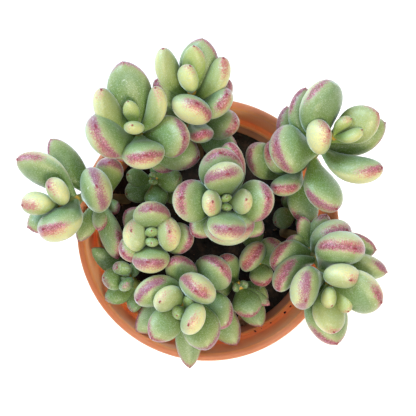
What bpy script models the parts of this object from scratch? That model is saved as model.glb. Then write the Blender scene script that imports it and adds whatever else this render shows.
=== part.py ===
"""A potted cotyledon: a branching succulent in a round moulded pot.

Thirteen leafy stems stand in the potting mix of a flared pot with a raised rim. Each stem is
one solid with its leaves. Lengths are in metres unless a name ends in _MM, +Z is up, and the
origin is the middle of the pot's flat underside.
"""
import math

import bmesh
import bpy
from mathutils import Matrix, Vector

MM = 0.001
GAP_MM = 0.3                 # clearance between pieces that touch on the real thing

# The pot: radii and heights of its turned section
POT_HEIGHT_MM = 110
RIM_RADIUS_MM = 70
LIP_RADIUS_MM = 2.15         # half the thickness of the rounded lip
BAND_FOOT_Z_MM = 86          # underside of the raised rim band
LEDGE_Z_MM = 88.4            # inner ledge behind the band
BODY_TOP_RADIUS_MM = 61.7
BODY_FOOT_RADIUS_MM = 47.5
BAND_TAPER_MM = 2.5          # how much narrower the band is at its foot than under the lip
BAND_DROP_MM = 3.2           # from the lip's middle down to the top of the band's taper
BAND_PROUD_MM = 0.6          # the band's top, outside the lip's middle
BAND_BEVEL_MM = 0.8
LEDGE_WIDTH_MM = 2.8
LEDGE_FILLET_MM = 0.8
LEDGE_BEVEL_MM = 0.6
LEDGE_RISE_MM = 0.2          # the ledge is this much higher beside the band
FOOT_BEVEL_MM = 1.2
FLOOR_CORNER_MM = 2          # bevel between the floor and the wall
WALL_MM = 2.2
FLOOR_MM = 3
TURN_STEPS = 36
LIP_STEPS = 6
DRAIN_HOLES = 6
DRAIN_RADIUS_MM = 4.5
DRAIN_CIRCLE_MM = 29
DRAIN_SIDES = 12

# The potting mix, lowest at its edge
SOIL_EDGE_Z_MM = 77
SOIL_SHOULDER_Z_MM = 77.6
SOIL_BROW_Z_MM = 78.7
SOIL_CROWN_Z_MM = 79
SOIL_GAP_MM = 0.6            # clearance between the mix and the pot's wall

# The stems and leaves
STEM_FOOT_RADIUS_MM = 3.0
STEM_TIP_RADIUS_MM = 1.8
STEM_STEP_MM = 7             # distance between points along a stem
HOLE_EXTRA_MM = 0.5          # a stem's hole is this much wider than the stem
WIDEST_AT = 0.58             # where along a leaf it is widest
PLUMPEST_AT = 0.64           # where along a leaf it is thickest
NECK_WIDTH = 0.17            # width and thickness of the neck, as shares of the greatest
NECK_THICKNESS = 0.24
PLUMPNESS = 0.64             # thickness over width of a leaf
YOUNG_PLUMPNESS = 0.68
YOUNG_LENGTH_MM = 15
WIDTH_SWELL = 1.4            # powers that shape a leaf's outline and its thickness
WIDTH_ROUNDING = 0.62
THICKNESS_SWELL = 1.3
THICKNESS_ROUNDING = 0.5
INNER_SHARE = 0.9            # an inner face is flatter than an outer one
OUTER_SHARE = 1.1
LEAF_NETS = ((10, 6, 4), (26, 6, 5), (99, 8, 5))  # lengths below which a leaf has these
                                                  # numbers of sides and rings
SHARP_ANGLE = 50
BOW = 0.08                   # outward bow of a leaf's middle, as a share of its length
BEAK_MM = 0.6                # the small point at a leaf's tip
ROOT_MM = 0.5                # how far a leaf's base passes the middle of its stem

# Each stem: the points of its route from the soil up, then its pairs of leaves from the tip
# down. A pair is its distance below the tip and two leaves. A leaf is its heading, counted
# from +X towards +Y, its rise above level, its length and width and, where they aren't the
# usual ones, its bow and its turn about its own length. Millimetres and degrees.
STEMS = {
    "stem_centre": ([(7, 8, 64), (7, 10, 110), (8, 12, 145), (9, 13, 158)], [
        (0, (90, 70, 7, 5.5), (270, 66, 7, 5.5)),
        (2, (178, 67, 17, 14, .18), (8, 59, 18, 12.5, .15, -2)),
        (5, (278, 62, 27, 19, .14, -4), (88, 62, 28.5, 19.5, .17, 3)),
        (9, (7, 48, 30, 20.5, .11, 2), (173, 47, 31.5, 21, .14)),
        (14, (95, 41, 33, 22, .1), (285, 61, 28.5, 25, .09, -2)),
        (21, (222, 20, 22, 14), (85, 35, 37, 17, .08, -47)),
        (27, (328, 20, 25, 14), (150, 12, 22, 15)),
        (34, (184, 10, 21, 15), (14, 12, 22, 15))]),
    "stem_top": ([(-5, 39, 64), (-6, 49, 105), (-8, 61, 138), (-8, 68, 150)], [
        (0, (87, 28, 23.5, 12, .1, -10), (93, 58, 19.5, 13)),
        (7, (120, 33, 32, 16, .12, 28), (51, 32, 29, 16.5, .12, -28)),
        (8, (308, 79, 24.5, 21, .13, -37), (80, 20, 32, 20)),
        (12, (11, 50, 27.5, 17.5, .1, -2), (148, 36, 25.5, 14.5, .07, 6)),
        (18, (39, 25, 26, 16, .08, -11), (297, 61, 28, 13, .18, -11)),
        (26, (351, 40, 28, 17, .1, 6), (165, 40, 21, 14)),
        (34, (325, 16, 27, 16), (236, 10, 24, 16))]),
    "stem_upper_left": ([(-30, 33, 64), (-31, 40, 110), (-34, 46, 143), (-35, 50, 155)], [
        (0, (107, 33, 14.5, 8, .09, -3), (211, 86, 15, 10, .04, -5)),
        (6, (131, 36, 31, 16.5, .17, 38), (65, 40, 28.5, 14.5, .15, -38)),
        (8, (292, 60, 25, 21, .16, -14), (102, 19, 36.5, 22)),
        (12, (354, 43, 30.5, 21, .11, 35), (172, 54, 33.5, 24.5, .13, 8)),
        (19, (343, 14, 31, 19, .08, 1), (83, 6, 20, 15)),
        (28, (325, 12, 20, 15), (190, -2, 18, 12))]),
    "stem_left": ([(-42, 17, 64), (-54, 17, 106), (-62, 17, 121), (-67, 16, 129),
                   (-74, 13, 134), (-80, 13, 138)], [
        (0, (102, 52, 4, 4), (202, 60, 4, 4)),
        (5, (109, 62, 18, 16, .15, 9), (183, 34, 20, 18.5, .01, -1)),
        (15, (230, 46, 29.5, 25, .12, -48), (145, 18, 36, 21, .1, 8)),
        (20, (209, 2, 32, 18), (22, 70, 32, 23.5)),
        (31, (127, 12, 38, 16, .08, 55), (290, 0, 34.5, 15, .03, 14)),
        (34, (246, 7, 25.5, 10.5, .07, -6), (275, 29, 20, 9, .07, -13)),
        (43, (80, 52, 29, 15, .14, 30), (300, 10, 10, 8))]),
    "stem_right_upper": ([(31, 18, 64), (41, 26, 108), (53, 37, 135), (58, 43, 146),
                          (62, 46, 151)], [
        (0, (45, 38, 13.5, 8.5, .1), (10, 38, 16, 10, .1)),
        (5, (108, 80, 20.5, 18, .23, -18), (28, 25, 29, 18.5, .08, 17)),
        (11, (338, 32, 35, 21, .14, -22), (84, 36, 36, 26.5, .1, 6)),
        (14, (22, 6, 36, 20, .06, 8), (173, 29, 25, 26, .13, -4)),
        (20, (292, 20, 31, 21.5, .1, -12), (97, 9, 34.5, 17.5, .12, 6)),
        (33, (218, 44, 25, 15.5, .12, 54), (103, 6, 32, 15)),
        (38, (286, 5, 29, 17, .08, 1), (140, 43, 26, 18, .06)),
        (46, (148, 43, 33.5, 18, .1, -9), (300, 4, 26, 16))]),
    "stem_right_lower": ([(40, -1, 64), (48, -4, 104), (53, -10, 122), (58, -21, 136),
                          (62, -29, 143)], [
        (0, (261, 51, 13.5, 11, .11, 15), (301, 32, 15.5, 10.5, .09, -5)),
        (3, (16, 68, 21.5, 19, .11, -16), (273, 22, 25.5, 19, .1, 16)),
        (7, (220, 56, 28.5, 22, .16, 21), (335, 30, 32, 25, 0, -10)),
        (13, (281, 6, 38.5, 23.5, .12, -12), (37, 54, 29.5, 26, .13, 1)),
        (20, (216, 32, 29.5, 18.5, .13, -17), (350, 8, 36, 17.5, .01, 14)),
        (26, (36, 44, 27, 22, .09, 26), (195, 35, 26, 19, .1, -1)),
        (28, (108, 24, 20, 8.5), (68, 18, 21, 11)),
        (30, (359, 7, 34, 17, .07, -1), (163, 39, 16.5, 9.5, .09, 1))]),
    "stem_lower_mid": ([(-29, -1, 64), (-28, -3, 110), (-28, -4, 138)], [
        (0, (93, 64, 7.5, 7, .08, 3), (266, 65, 6.5, 7, .08, -3)),
        (3, (162, 43, 14.5, 17.5, .2, 30), (17, 55, 16, 18, .19, -14)),
        (8, (261, 54, 21, 19.5, .22, 9), (92, 57, 24.5, 19, .12, -1)),
        (14, (356, 43, 25.5, 16.5, .1, -8), (210, 46, 24, 15.5, .1, 12)),
        (20, (140, 10, 20, 15), (250, 4, 18, 12))]),
    "stem_lower_left": ([(-35, -31, 64), (-36, -31, 100), (-40, -27, 113), (-43, -24, 120)], [
        (0, (60, 60, 4, 4), (240, 60, 4, 4)),
        (2, (129, 54, 12, 10.5, .1, -2), (251, 67, 11.5, 9, .11, 15)),
        (5, (176, 29, 15, 12.5, .08, -4), (70, 30, 10, 7)),
        (14, (204, 13, 18.5, 11.5, .09, 4), (262, 16, 15, 9)),
        (20, (141, 12, 33, 11), (145, 4, 24, 10, .08, 1))]),
    "stem_bottom": ([(-6, -23, 64), (-6, -30, 108), (-9, -35, 128), (-12, -39, 139)], [
        (0, (228, 53, 8.5, 8), (42, 46, 8.5, 8)),
        (3, (170, 50, 19.5, 16, .15, 8), (280, 63, 19.5, 17.5, .15, -13)),
        (7, (56, 73, 26.5, 20.5, .16, 1), (225, 20, 27, 17)),
        (12, (182, 27, 29.5, 21.5, .17, -34), (289, 24, 28.5, 20, .08, -11)),
        (16, (268, -14, 40, 15, .1, -25), (116, 37, 26, 16, .1, 2)),
        (26, (313, 30, 27.5, 18.5, .1, -2), (43, 51, 28.5, 21, .11, -1)),
        (34, (217, 6, 40, 18), (304, 2, 38, 17))]),
    "stem_deep": ([(-28, 18, 64), (-29, 24, 95), (-29, 27, 109)], [
        (0, (90, 72, 6, 5), (270, 72, 6, 5)),
        (3, (169, 36, 16.5, 10.5, .11, 2), (2, 30, 16, 13.5, .13, 7)),
        (7, (280, 36, 16, 13), (66, 40, 12, 10)),
        (13, (200, 30, 18, 13), (340, 20, 20, 13))]),
    "stem_inner_right": ([(24, -8, 64), (26, -14, 90), (27, -17, 104)], [
        (0, (140, 78, 19, 18, .1, 20), (33, 50, 19, 17.5, .1, -20)),
        (6, (284, 33, 16.5, 13, .1), (178, 24, 10, 8)),
        (14, (350, 20, 24, 14), (100, 20, 20, 13))]),
    "stem_lower_right": ([(12, -28, 64), (15, -29, 95), (17, -30, 110)], [
        (0, (200, 60, 6, 5), (20, 60, 6, 5)),
        (3, (295, 31, 19, 16, .08, -1), (328, 22, 20, 6.5, .08, -6)),
        (9, (300, 6, 26, 14), (118, 48, 24, 14, .1)),
        (15, (200, 20, 14, 11), (330, 6, 20, 13))]),
    "stem_mid_right": ([(47, 10, 64), (49, 10, 82), (50, 9, 91)], [
        (0, (285, 24, 11, 7), (100, 60, 5, 4)),
        (3, (203, 28, 16, 12), (20, 34, 9.5, 7)),
        (10, (120, 20, 12, 9), (60, 30, 9, 7.5))]),
}


def clear_scene():
    for old in list(bpy.data.objects):
        bpy.data.objects.remove(old, do_unlink=True)


def new_collection(name):
    group = bpy.data.collections.new(name)
    bpy.context.scene.collection.children.link(group)
    return group


def plain_material(name, colour, roughness):
    material = bpy.data.materials.new(name)
    material.use_nodes = True
    shader = material.node_tree.nodes["Principled BSDF"]
    shader.inputs["Base Color"].default_value = (*colour, 1)
    shader.inputs["Roughness"].default_value = roughness
    shader.inputs["Metallic"].default_value = 0
    return material


def object_from_bmesh(name, bm, group):
    mesh = bpy.data.meshes.new(name)
    bm.to_mesh(mesh)
    bm.free()
    piece = bpy.data.objects.new(name, mesh)
    group.objects.link(piece)
    return piece


def finish(piece, material):
    piece.data.materials.clear()
    piece.data.materials.append(material)
    piece.data.shade_smooth()
    piece.data.set_sharp_from_angle(angle=math.radians(SHARP_ANGLE))


def apply_modifier(piece, name):
    bpy.context.view_layer.objects.active = piece
    bpy.ops.object.modifier_apply(modifier=name)


# Turned pieces

def arc(centre_r, centre_z, radius, start, stop, steps):
    """Points of an arc in a turned section, angles in degrees from the outward direction."""
    angles = [math.radians(start + (stop - start) * i / steps) for i in range(steps + 1)]
    return [(centre_r + radius * math.cos(a), centre_z + radius * math.sin(a)) for a in angles]


def body_radius(z):
    """Outer radius of the pot's flared body at a height."""
    flare = (BODY_TOP_RADIUS_MM - BODY_FOOT_RADIUS_MM) / BAND_FOOT_Z_MM
    return BODY_FOOT_RADIUS_MM + flare * z


def pot_section():
    """The pot's section, from the middle of the floor's top, over the lip, to its underside."""
    lip_r = RIM_RADIUS_MM - LIP_RADIUS_MM
    lip_z = POT_HEIGHT_MM - LIP_RADIUS_MM
    ledge_r = body_radius(LEDGE_Z_MM) - WALL_MM
    ledge_z = LEDGE_Z_MM + LEDGE_RISE_MM
    corner_z = FLOOR_MM + FLOOR_CORNER_MM
    inside = [(0, FLOOR_MM), (body_radius(FLOOR_MM) - WALL_MM - FLOOR_CORNER_MM, FLOOR_MM),
              (body_radius(corner_z) - WALL_MM, corner_z),
              (ledge_r - LEDGE_BEVEL_MM, LEDGE_Z_MM - LEDGE_BEVEL_MM), (ledge_r, LEDGE_Z_MM)]
    band_inside = [(ledge_r + LEDGE_WIDTH_MM, ledge_z),
                   (ledge_r + LEDGE_WIDTH_MM + LEDGE_FILLET_MM, ledge_z + LEDGE_FILLET_MM)]
    lip = arc(lip_r, lip_z, LIP_RADIUS_MM, 180, -20, LIP_STEPS)
    band_r = lip_r + BAND_PROUD_MM
    band_outside = [(band_r, lip_z - BAND_DROP_MM),
                    (band_r - BAND_TAPER_MM, BAND_FOOT_Z_MM + BAND_BEVEL_MM),
                    (band_r - BAND_TAPER_MM - BAND_BEVEL_MM, BAND_FOOT_Z_MM)]
    outside = [(BODY_TOP_RADIUS_MM, BAND_FOOT_Z_MM), (BODY_FOOT_RADIUS_MM, FOOT_BEVEL_MM),
               (BODY_FOOT_RADIUS_MM - FOOT_BEVEL_MM, 0), (0, 0)]
    return inside + band_inside + lip + band_outside + outside


def soil_section():
    """The potting mix's section, from its crown, down its side, to the middle of its base."""
    side = body_radius(SOIL_EDGE_Z_MM) - WALL_MM - SOIL_GAP_MM
    corner_z = FLOOR_MM + FLOOR_CORNER_MM
    foot = body_radius(FLOOR_MM) - WALL_MM - FLOOR_CORNER_MM - GAP_MM
    return [(0, SOIL_CROWN_Z_MM), (side * .4, SOIL_BROW_Z_MM), (side * .8, SOIL_SHOULDER_Z_MM),
            (side, SOIL_EDGE_Z_MM),
            (body_radius(corner_z) - WALL_MM - SOIL_GAP_MM, corner_z + GAP_MM),
            (foot, FLOOR_MM + GAP_MM), (0, FLOOR_MM + GAP_MM)]


def turned(name, section, group):
    """A closed solid turned from a section that starts and ends on the Z axis."""
    bm = bmesh.new()
    points = [bm.verts.new((r * MM, 0, z * MM)) for r, z in section]
    for lower, upper in zip(points, points[1:]):
        bm.edges.new((lower, upper))
    piece = object_from_bmesh(name, bm, group)
    screw = piece.modifiers.new("Turn", "SCREW")
    screw.steps = TURN_STEPS
    screw.render_steps = TURN_STEPS
    screw.use_merge_vertices = True
    screw.merge_threshold = 0.0001
    apply_modifier(piece, "Turn")
    return piece


def cut(piece, cutter, label):
    """Cut a closed cutter out of a piece; the cutter stays as a wire guide."""
    cutter.display_type = "WIRE"
    cutter.hide_render = True
    boolean = piece.modifiers.new(label, "BOOLEAN")
    boolean.operation = "DIFFERENCE"
    boolean.object = cutter


def make_pot(parts, cutters):
    pot = turned("pot", pot_section(), parts)
    for i in range(DRAIN_HOLES):
        angle = math.tau * i / DRAIN_HOLES
        bm = bmesh.new()
        bmesh.ops.create_cone(bm, cap_ends=True, segments=DRAIN_SIDES,
                              radius1=DRAIN_RADIUS_MM * MM, radius2=DRAIN_RADIUS_MM * MM,
                              depth=4 * FLOOR_MM * MM)
        cutter = object_from_bmesh(f"drain_cutter_{i + 1}", bm, cutters)
        cutter.location = (DRAIN_CIRCLE_MM * MM * math.cos(angle),
                           DRAIN_CIRCLE_MM * MM * math.sin(angle), 0)
        cut(pot, cutter, f"Drain {i + 1}")
    finish(pot, plain_material("terracotta plastic", (0.55, 0.19, 0.07), 0.42))
    return pot


# Stems

def smooth_route(points):
    """Points every few millimetres on a Catmull-Rom curve through a stem's own points."""
    knots = [Vector(p) for p in points]
    knots = [2 * knots[0] - knots[1]] + knots + [2 * knots[-1] - knots[-2]]
    route = []
    for a, b, c, d in zip(knots, knots[1:], knots[2:], knots[3:]):
        steps = max(2, int((c - b).length / STEM_STEP_MM))
        for i in range(steps):
            t = i / steps
            route.append(.5 * (2 * b + (c - a) * t + (2 * a - 5 * b + 4 * c - d) * t ** 2
                               + (3 * b - a - 3 * c + d) * t ** 3))
    return route + [knots[-2]]


def point_below_tip(route, distance):
    """The point and the direction of a stem at a distance back from its tip."""
    left = distance
    for upper, lower in zip(reversed(route), reversed(route[:-1])):
        span = upper - lower
        if span.length >= left:
            return upper - span.normalized() * left, span.normalized()
        left -= span.length
    return route[0], (route[1] - route[0]).normalized()


def tube(name, route, foot_radius, tip_radius, group):
    """A closed, tapered tube along a route, made as a curve and turned into a mesh."""
    curve = bpy.data.curves.new(name, "CURVE")
    curve.dimensions = "3D"
    curve.bevel_depth = foot_radius * MM
    curve.bevel_resolution = 1
    curve.use_fill_caps = True
    spline = curve.splines.new("POLY")
    spline.points.add(len(route) - 1)
    for i, (point, place) in enumerate(zip(spline.points, route)):
        point.co = (*(place * MM), 1)
        point.radius = 1 + (tip_radius / foot_radius - 1) * i / (len(route) - 1)
    guide = bpy.data.objects.new(name, curve)
    group.objects.link(guide)
    depsgraph = bpy.context.evaluated_depsgraph_get()
    mesh = bpy.data.meshes.new_from_object(guide.evaluated_get(depsgraph))
    place = guide.matrix_world.copy()
    bpy.data.objects.remove(guide, do_unlink=True)
    bm = bmesh.new()
    bm.from_mesh(mesh)
    bpy.data.meshes.remove(mesh)
    bmesh.ops.remove_doubles(bm, verts=bm.verts, dist=0.00001)
    piece = object_from_bmesh(name, bm, group)
    piece.matrix_world = place
    return piece


def stem_hole(name, route, cutters):
    """The plain hole that a stem stands in, along the buried part of its route."""
    buried = [p for p in route if p.z < SOIL_CROWN_Z_MM + STEM_STEP_MM]
    down = (buried[0] - buried[1]).normalized()
    path = [buried[0] + down * GAP_MM] + buried
    radius = STEM_FOOT_RADIUS_MM + HOLE_EXTRA_MM
    return tube(f"{name}_hole", path, radius, radius, cutters)


# Leaves

def half_width(u):
    """Half the leaf's outline at u, from 0 at the stem to 1 at the tip."""
    if u < WIDEST_AT:
        swell = math.sin(u / WIDEST_AT * math.pi / 2) ** WIDTH_SWELL
        return NECK_WIDTH + (1 - NECK_WIDTH) * swell
    return (1 - ((u - WIDEST_AT) / (1 - WIDEST_AT)) ** 2) ** WIDTH_ROUNDING


def half_thickness(u):
    """Half the leaf's thickness at u, with a blunt end."""
    if u < PLUMPEST_AT:
        swell = math.sin(u / PLUMPEST_AT * math.pi / 2) ** THICKNESS_SWELL
        return NECK_THICKNESS + (1 - NECK_THICKNESS) * swell
    return (1 - ((u - PLUMPEST_AT) / (1 - PLUMPEST_AT)) ** 2) ** THICKNESS_ROUNDING


def leaf_axes(stem_direction, heading, rise, turn):
    """The leaf's directions: along it, across it, and out of its inner face."""
    along = Vector((math.cos(heading) * math.cos(rise), math.sin(heading) * math.cos(rise),
                    math.sin(rise)))
    across = stem_direction.cross(along).normalized()
    inner = along.cross(across).normalized()
    spin = Matrix.Rotation(turn, 3, along)
    return along, spin @ across, spin @ inner


def make_leaf(name, base, stem_direction, leaf, group):
    """A plump paddle with a narrow neck: a sphere reshaped along the leaf's own axes."""
    heading, rise, length, width, *rest = leaf
    bow = rest[0] if rest else BOW
    turn = math.radians(rest[1]) if len(rest) > 1 else 0
    along, across, inner = leaf_axes(stem_direction, math.radians(heading),
                                     math.radians(rise), turn)
    thickness = width * (YOUNG_PLUMPNESS if length < YOUNG_LENGTH_MM else PLUMPNESS)
    sides, rings = next(net for longest, *net in LEAF_NETS if length < longest)
    first_ring = math.cos(math.pi / rings)
    bm = bmesh.new()
    bmesh.ops.create_uvsphere(bm, u_segments=sides, v_segments=rings, radius=1)
    for vert in bm.verts:
        x, y, z = vert.co
        reach = math.hypot(x, y)
        if reach < .001:
            end = length + BEAK_MM if z > 0 else -ROOT_MM
            vert.co = (base + along * end) * MM
            continue
        u = min(1, max(0, (z + first_ring) / (1 + first_ring)))
        middle = base + along * length * u - inner * 4 * bow * length * u * (1 - u)
        facing = (inner + along * 4 * bow * (1 - 2 * u)).normalized()
        share = INNER_SHARE if y > 0 else OUTER_SHARE
        depth = thickness / 2 * half_thickness(u) * y / reach * share
        vert.co = (middle + across * width / 2 * half_width(u) * x / reach
                   + facing * depth) * MM
    if across.cross(inner).dot(along) < 0:
        bmesh.ops.reverse_faces(bm, faces=bm.faces)
    return object_from_bmesh(name, bm, group)


def make_stem(name, points, pairs, parts, cutters):
    """A stem and its leaves, fused into one solid. Returns the cutter of the stem's hole."""
    route = smooth_route(points)
    stem = tube(name, route, STEM_FOOT_RADIUS_MM, STEM_TIP_RADIUS_MM, parts)
    foliage = bpy.data.collections.new(f"{name} leaves")
    for number, (below, *pair) in enumerate(pairs):
        base, direction = point_below_tip(route, below)
        for side, leaf in zip("ab", pair):
            make_leaf(f"{name}_{number}{side}", base, direction, leaf, foliage)
    union = stem.modifiers.new("Leaves", "BOOLEAN")
    union.operation = "UNION"
    union.solver = "MANIFOLD"
    union.operand_type = "COLLECTION"
    union.collection = foliage
    apply_modifier(stem, "Leaves")
    for leaf in list(foliage.objects):
        bpy.data.objects.remove(leaf, do_unlink=True)
    bpy.data.collections.remove(foliage)
    finish(stem, plain_material(f"{name} leaf green", (0.27, 0.38, 0.19), 0.5))
    return stem_hole(name, route, cutters)


def make_soil(holes, parts):
    soil = turned("potting_mix", soil_section(), parts)
    for number, hole in enumerate(holes):
        cut(soil, hole, f"Stem hole {number + 1}")
    finish(soil, plain_material("potting mix", (0.02, 0.013, 0.009), 0.95))


clear_scene()
parts = new_collection("Potted cotyledon")
cutters = new_collection("Cutters")
make_pot(parts, cutters)
stem_holes = [make_stem(name, points, pairs, parts, cutters)
              for name, (points, pairs) in STEMS.items()]
make_soil(stem_holes, parts)
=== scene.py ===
"""The looks of a potted cotyledon: its pot, potting mix, branches and leaves, light and camera.

Lengths are in metres unless a name ends in _MM or a table says millimetres.
"""

import math
import random

import bpy
import numpy as np
from mathutils import Matrix, Vector, noise


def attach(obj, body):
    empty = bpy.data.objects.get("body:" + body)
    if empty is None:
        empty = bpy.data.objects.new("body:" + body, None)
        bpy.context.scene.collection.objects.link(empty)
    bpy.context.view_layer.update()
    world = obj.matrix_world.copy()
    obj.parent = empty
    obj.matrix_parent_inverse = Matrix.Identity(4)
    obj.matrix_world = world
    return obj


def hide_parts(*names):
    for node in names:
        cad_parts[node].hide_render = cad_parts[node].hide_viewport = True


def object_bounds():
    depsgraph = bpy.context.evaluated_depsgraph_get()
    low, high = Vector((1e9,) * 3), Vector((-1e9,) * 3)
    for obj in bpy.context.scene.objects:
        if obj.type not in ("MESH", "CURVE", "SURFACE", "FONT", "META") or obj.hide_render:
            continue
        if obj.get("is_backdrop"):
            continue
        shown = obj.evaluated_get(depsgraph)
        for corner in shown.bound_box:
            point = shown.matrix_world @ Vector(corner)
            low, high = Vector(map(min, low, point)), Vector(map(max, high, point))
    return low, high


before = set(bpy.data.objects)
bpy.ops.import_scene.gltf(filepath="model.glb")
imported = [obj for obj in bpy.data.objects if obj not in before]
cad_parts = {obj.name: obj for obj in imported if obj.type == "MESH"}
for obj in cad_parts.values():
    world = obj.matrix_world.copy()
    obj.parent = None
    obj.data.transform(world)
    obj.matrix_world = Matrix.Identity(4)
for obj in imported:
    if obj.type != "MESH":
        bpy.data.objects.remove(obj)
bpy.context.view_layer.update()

# Pot. The real one is a nursery pot of terracotta-coloured plastic, moulded in one piece with a
# rounded lip, a raised rim band and a ledge behind it. It is made as a ring that is extruded up
# the outside, over the lip and down the inside, and its drainage holes are drilled at the end.
MM = 0.001
POT_SIDES = 128
POT_HEIGHT_MM = 110
RIM_RADIUS_MM = 70
LIP_RADIUS_MM = 2.15
BAND_FOOT_Z_MM = 86
LEDGE_Z_MM = 88.4
BODY_TOP_RADIUS_MM = 61.7
BODY_FOOT_RADIUS_MM = 47.5
WALL_MM = 2.2
FLOOR_MM = 3
DRAIN_HOLES = 6
DRAIN_RADIUS_MM = 4.5
DRAIN_CIRCLE_MM = 29
TERRACOTTA = (0.43, 0.130, 0.048, 1)
TERRACOTTA_PALE = (0.50, 0.19, 0.10, 1)
# The brightest terracotta is painted light on the inner wall of the rim band.
TERRACOTTA_PAINTED_LIGHT = (0.88, 0.40, 0.15, 1)
TERRACOTTA_DEEP = (0.34, 0.085, 0.028, 1)


def arc(centre_r, centre_z, radius, start, stop, steps):
    angles = [math.radians(start + (stop - start) * i / steps) for i in range(steps + 1)]
    return [(centre_r + radius * math.cos(a), centre_z + radius * math.sin(a)) for a in angles]


def body_radius(z):
    flare = (BODY_TOP_RADIUS_MM - BODY_FOOT_RADIUS_MM) / BAND_FOOT_Z_MM
    return BODY_FOOT_RADIUS_MM + flare * z


def extruded_ring(name, section, sides):
    """A ring of the first point's radius, extruded from point to point of a turned section."""
    bpy.ops.object.select_all(action="DESELECT")
    radius, z = section[0]
    bpy.ops.mesh.primitive_circle_add(vertices=sides, radius=radius * MM, location=(0, 0, z * MM))
    piece = bpy.context.object
    piece.name = name
    bpy.ops.object.transform_apply(location=True, rotation=True, scale=True)
    bpy.ops.object.mode_set(mode="EDIT")
    bpy.ops.mesh.select_all(action="SELECT")
    bpy.ops.mesh.edge_face_add()
    bpy.ops.mesh.select_all(action="SELECT")
    for next_radius, next_z in section[1:]:
        bpy.ops.mesh.extrude_region_move(
            TRANSFORM_OT_translate={"value": (0, 0, (next_z - z) * MM)})
        grow = next_radius / radius
        bpy.ops.transform.resize(value=(grow, grow, 1), center_override=(0, 0, next_z * MM))
        radius, z = next_radius, next_z
    bpy.ops.mesh.select_all(action="SELECT")
    bpy.ops.mesh.normals_make_consistent(inside=False)
    bpy.ops.object.mode_set(mode="OBJECT")
    return piece


def smooth(piece, angle):
    bpy.ops.object.select_all(action="DESELECT")
    bpy.context.view_layer.objects.active = piece
    piece.select_set(True)
    bpy.ops.object.shade_smooth_by_angle(angle=math.radians(angle))


def new_material(name):
    """A material, its node tree and its Principled shader."""
    material = bpy.data.materials.new(name)
    material.use_nodes = True
    return material, material.node_tree, material.node_tree.nodes["Principled BSDF"]


def node(tree, kind, inputs, **settings):
    """A shader node with its settings, each input a value or another node's output."""
    made = tree.nodes.new(kind)
    for name, value in settings.items():
        setattr(made, name, value)
    for name, value in inputs.items():
        if isinstance(value, bpy.types.NodeSocket):
            tree.links.new(value, made.inputs[name])
        else:
            made.inputs[name].default_value = value
    return made


def object_place(tree):
    return node(tree, "ShaderNodeTexCoord", {}).outputs["Object"]


def grain(tree, scale, detail=2.0, roughness=0.5):
    """Noise from 0 to 1 in the piece's own space; scale is waves a metre."""
    return node(tree, "ShaderNodeTexNoise",
                {"Vector": object_place(tree), "Scale": scale, "Detail": detail,
                 "Roughness": roughness}).outputs["Fac"]


def calc(tree, operation, first, second=0.0, clamp=False):
    return node(tree, "ShaderNodeMath", {0: first, 1: second}, operation=operation,
                use_clamp=clamp).outputs[0]


def fade(tree, value, low, high, to_low=0.0, to_high=1.0):
    """A value's smooth change from to_low at low to to_high at high."""
    return node(tree, "ShaderNodeMapRange",
                {"Value": value, "From Min": low, "From Max": high, "To Min": to_low,
                 "To Max": to_high}, interpolation_type="SMOOTHSTEP").outputs["Result"]


def mix(tree, share, first, second, blend="MIX"):
    made = tree.nodes.new("ShaderNodeMix")
    made.data_type = "RGBA"
    made.blend_type = blend
    for index, value in ((0, share), (6, first), (7, second)):
        if isinstance(value, bpy.types.NodeSocket):
            tree.links.new(value, made.inputs[index])
        else:
            made.inputs[index].default_value = value
    return made.outputs[2]


def bump(tree, shader, height, distance, strength=1.0):
    made = node(tree, "ShaderNodeBump", {"Height": height, "Distance": distance,
                                         "Strength": strength})
    tree.links.new(made.outputs["Normal"], shader.inputs["Normal"])


lip_r = RIM_RADIUS_MM - LIP_RADIUS_MM
lip_z = POT_HEIGHT_MM - LIP_RADIUS_MM
underside = [(BODY_FOOT_RADIUS_MM - 1.2, 0), (BODY_FOOT_RADIUS_MM - .4, .35),
             (BODY_FOOT_RADIUS_MM, 1.2)]
body = [(body_radius(z), z) for z in (20, 40, 60, 80, BAND_FOOT_Z_MM)]
band_outside = [(lip_r - 2.9, BAND_FOOT_Z_MM), (lip_r - 2.3, BAND_FOOT_Z_MM + .4),
                (lip_r - 1.9, BAND_FOOT_Z_MM + 1), (lip_r + .4, lip_z - 3.6),
                (lip_r + 1.2, lip_z - 2.9)]
lip = arc(lip_r, lip_z, LIP_RADIUS_MM, -25, 180, 16)
ledge_r = body_radius(LEDGE_Z_MM) - WALL_MM
ledge = [(ledge_r + out, LEDGE_Z_MM + up) for out, up in
         ((3.6, 1.7), (3.3, 1.2), (3.0, .9), (2.6, .85), (2.3, .6), (2.1, .1), (1.6, -.1),
          (1.2, 0), (1.0, .35), (.75, .5), (.4, .5), (.15, .3), (0, -.1), (-.15, -.7))]
inside = [(body_radius(z) - WALL_MM, z) for z in (80, 60, 40, 20, FLOOR_MM + 2)]
inside += [(body_radius(FLOOR_MM) - WALL_MM - 2, FLOOR_MM)]
pot = extruded_ring("moulded_pot", underside + body + band_outside + lip + ledge + inside,
                    POT_SIDES)
for i in range(DRAIN_HOLES):
    angle = math.tau * i / DRAIN_HOLES
    bpy.ops.object.select_all(action="DESELECT")
    bpy.ops.mesh.primitive_cylinder_add(
        vertices=32, radius=DRAIN_RADIUS_MM * MM, depth=4 * FLOOR_MM * MM,
        location=(DRAIN_CIRCLE_MM * MM * math.cos(angle), DRAIN_CIRCLE_MM * MM * math.sin(angle), 0))
    drill = bpy.context.object
    hole = pot.modifiers.new("Drain", "BOOLEAN")
    hole.object = drill
    bpy.context.view_layer.objects.active = pot
    bpy.ops.object.modifier_apply(modifier="Drain")
    bpy.data.objects.remove(drill, do_unlink=True)
smooth(pot, 40)

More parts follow.
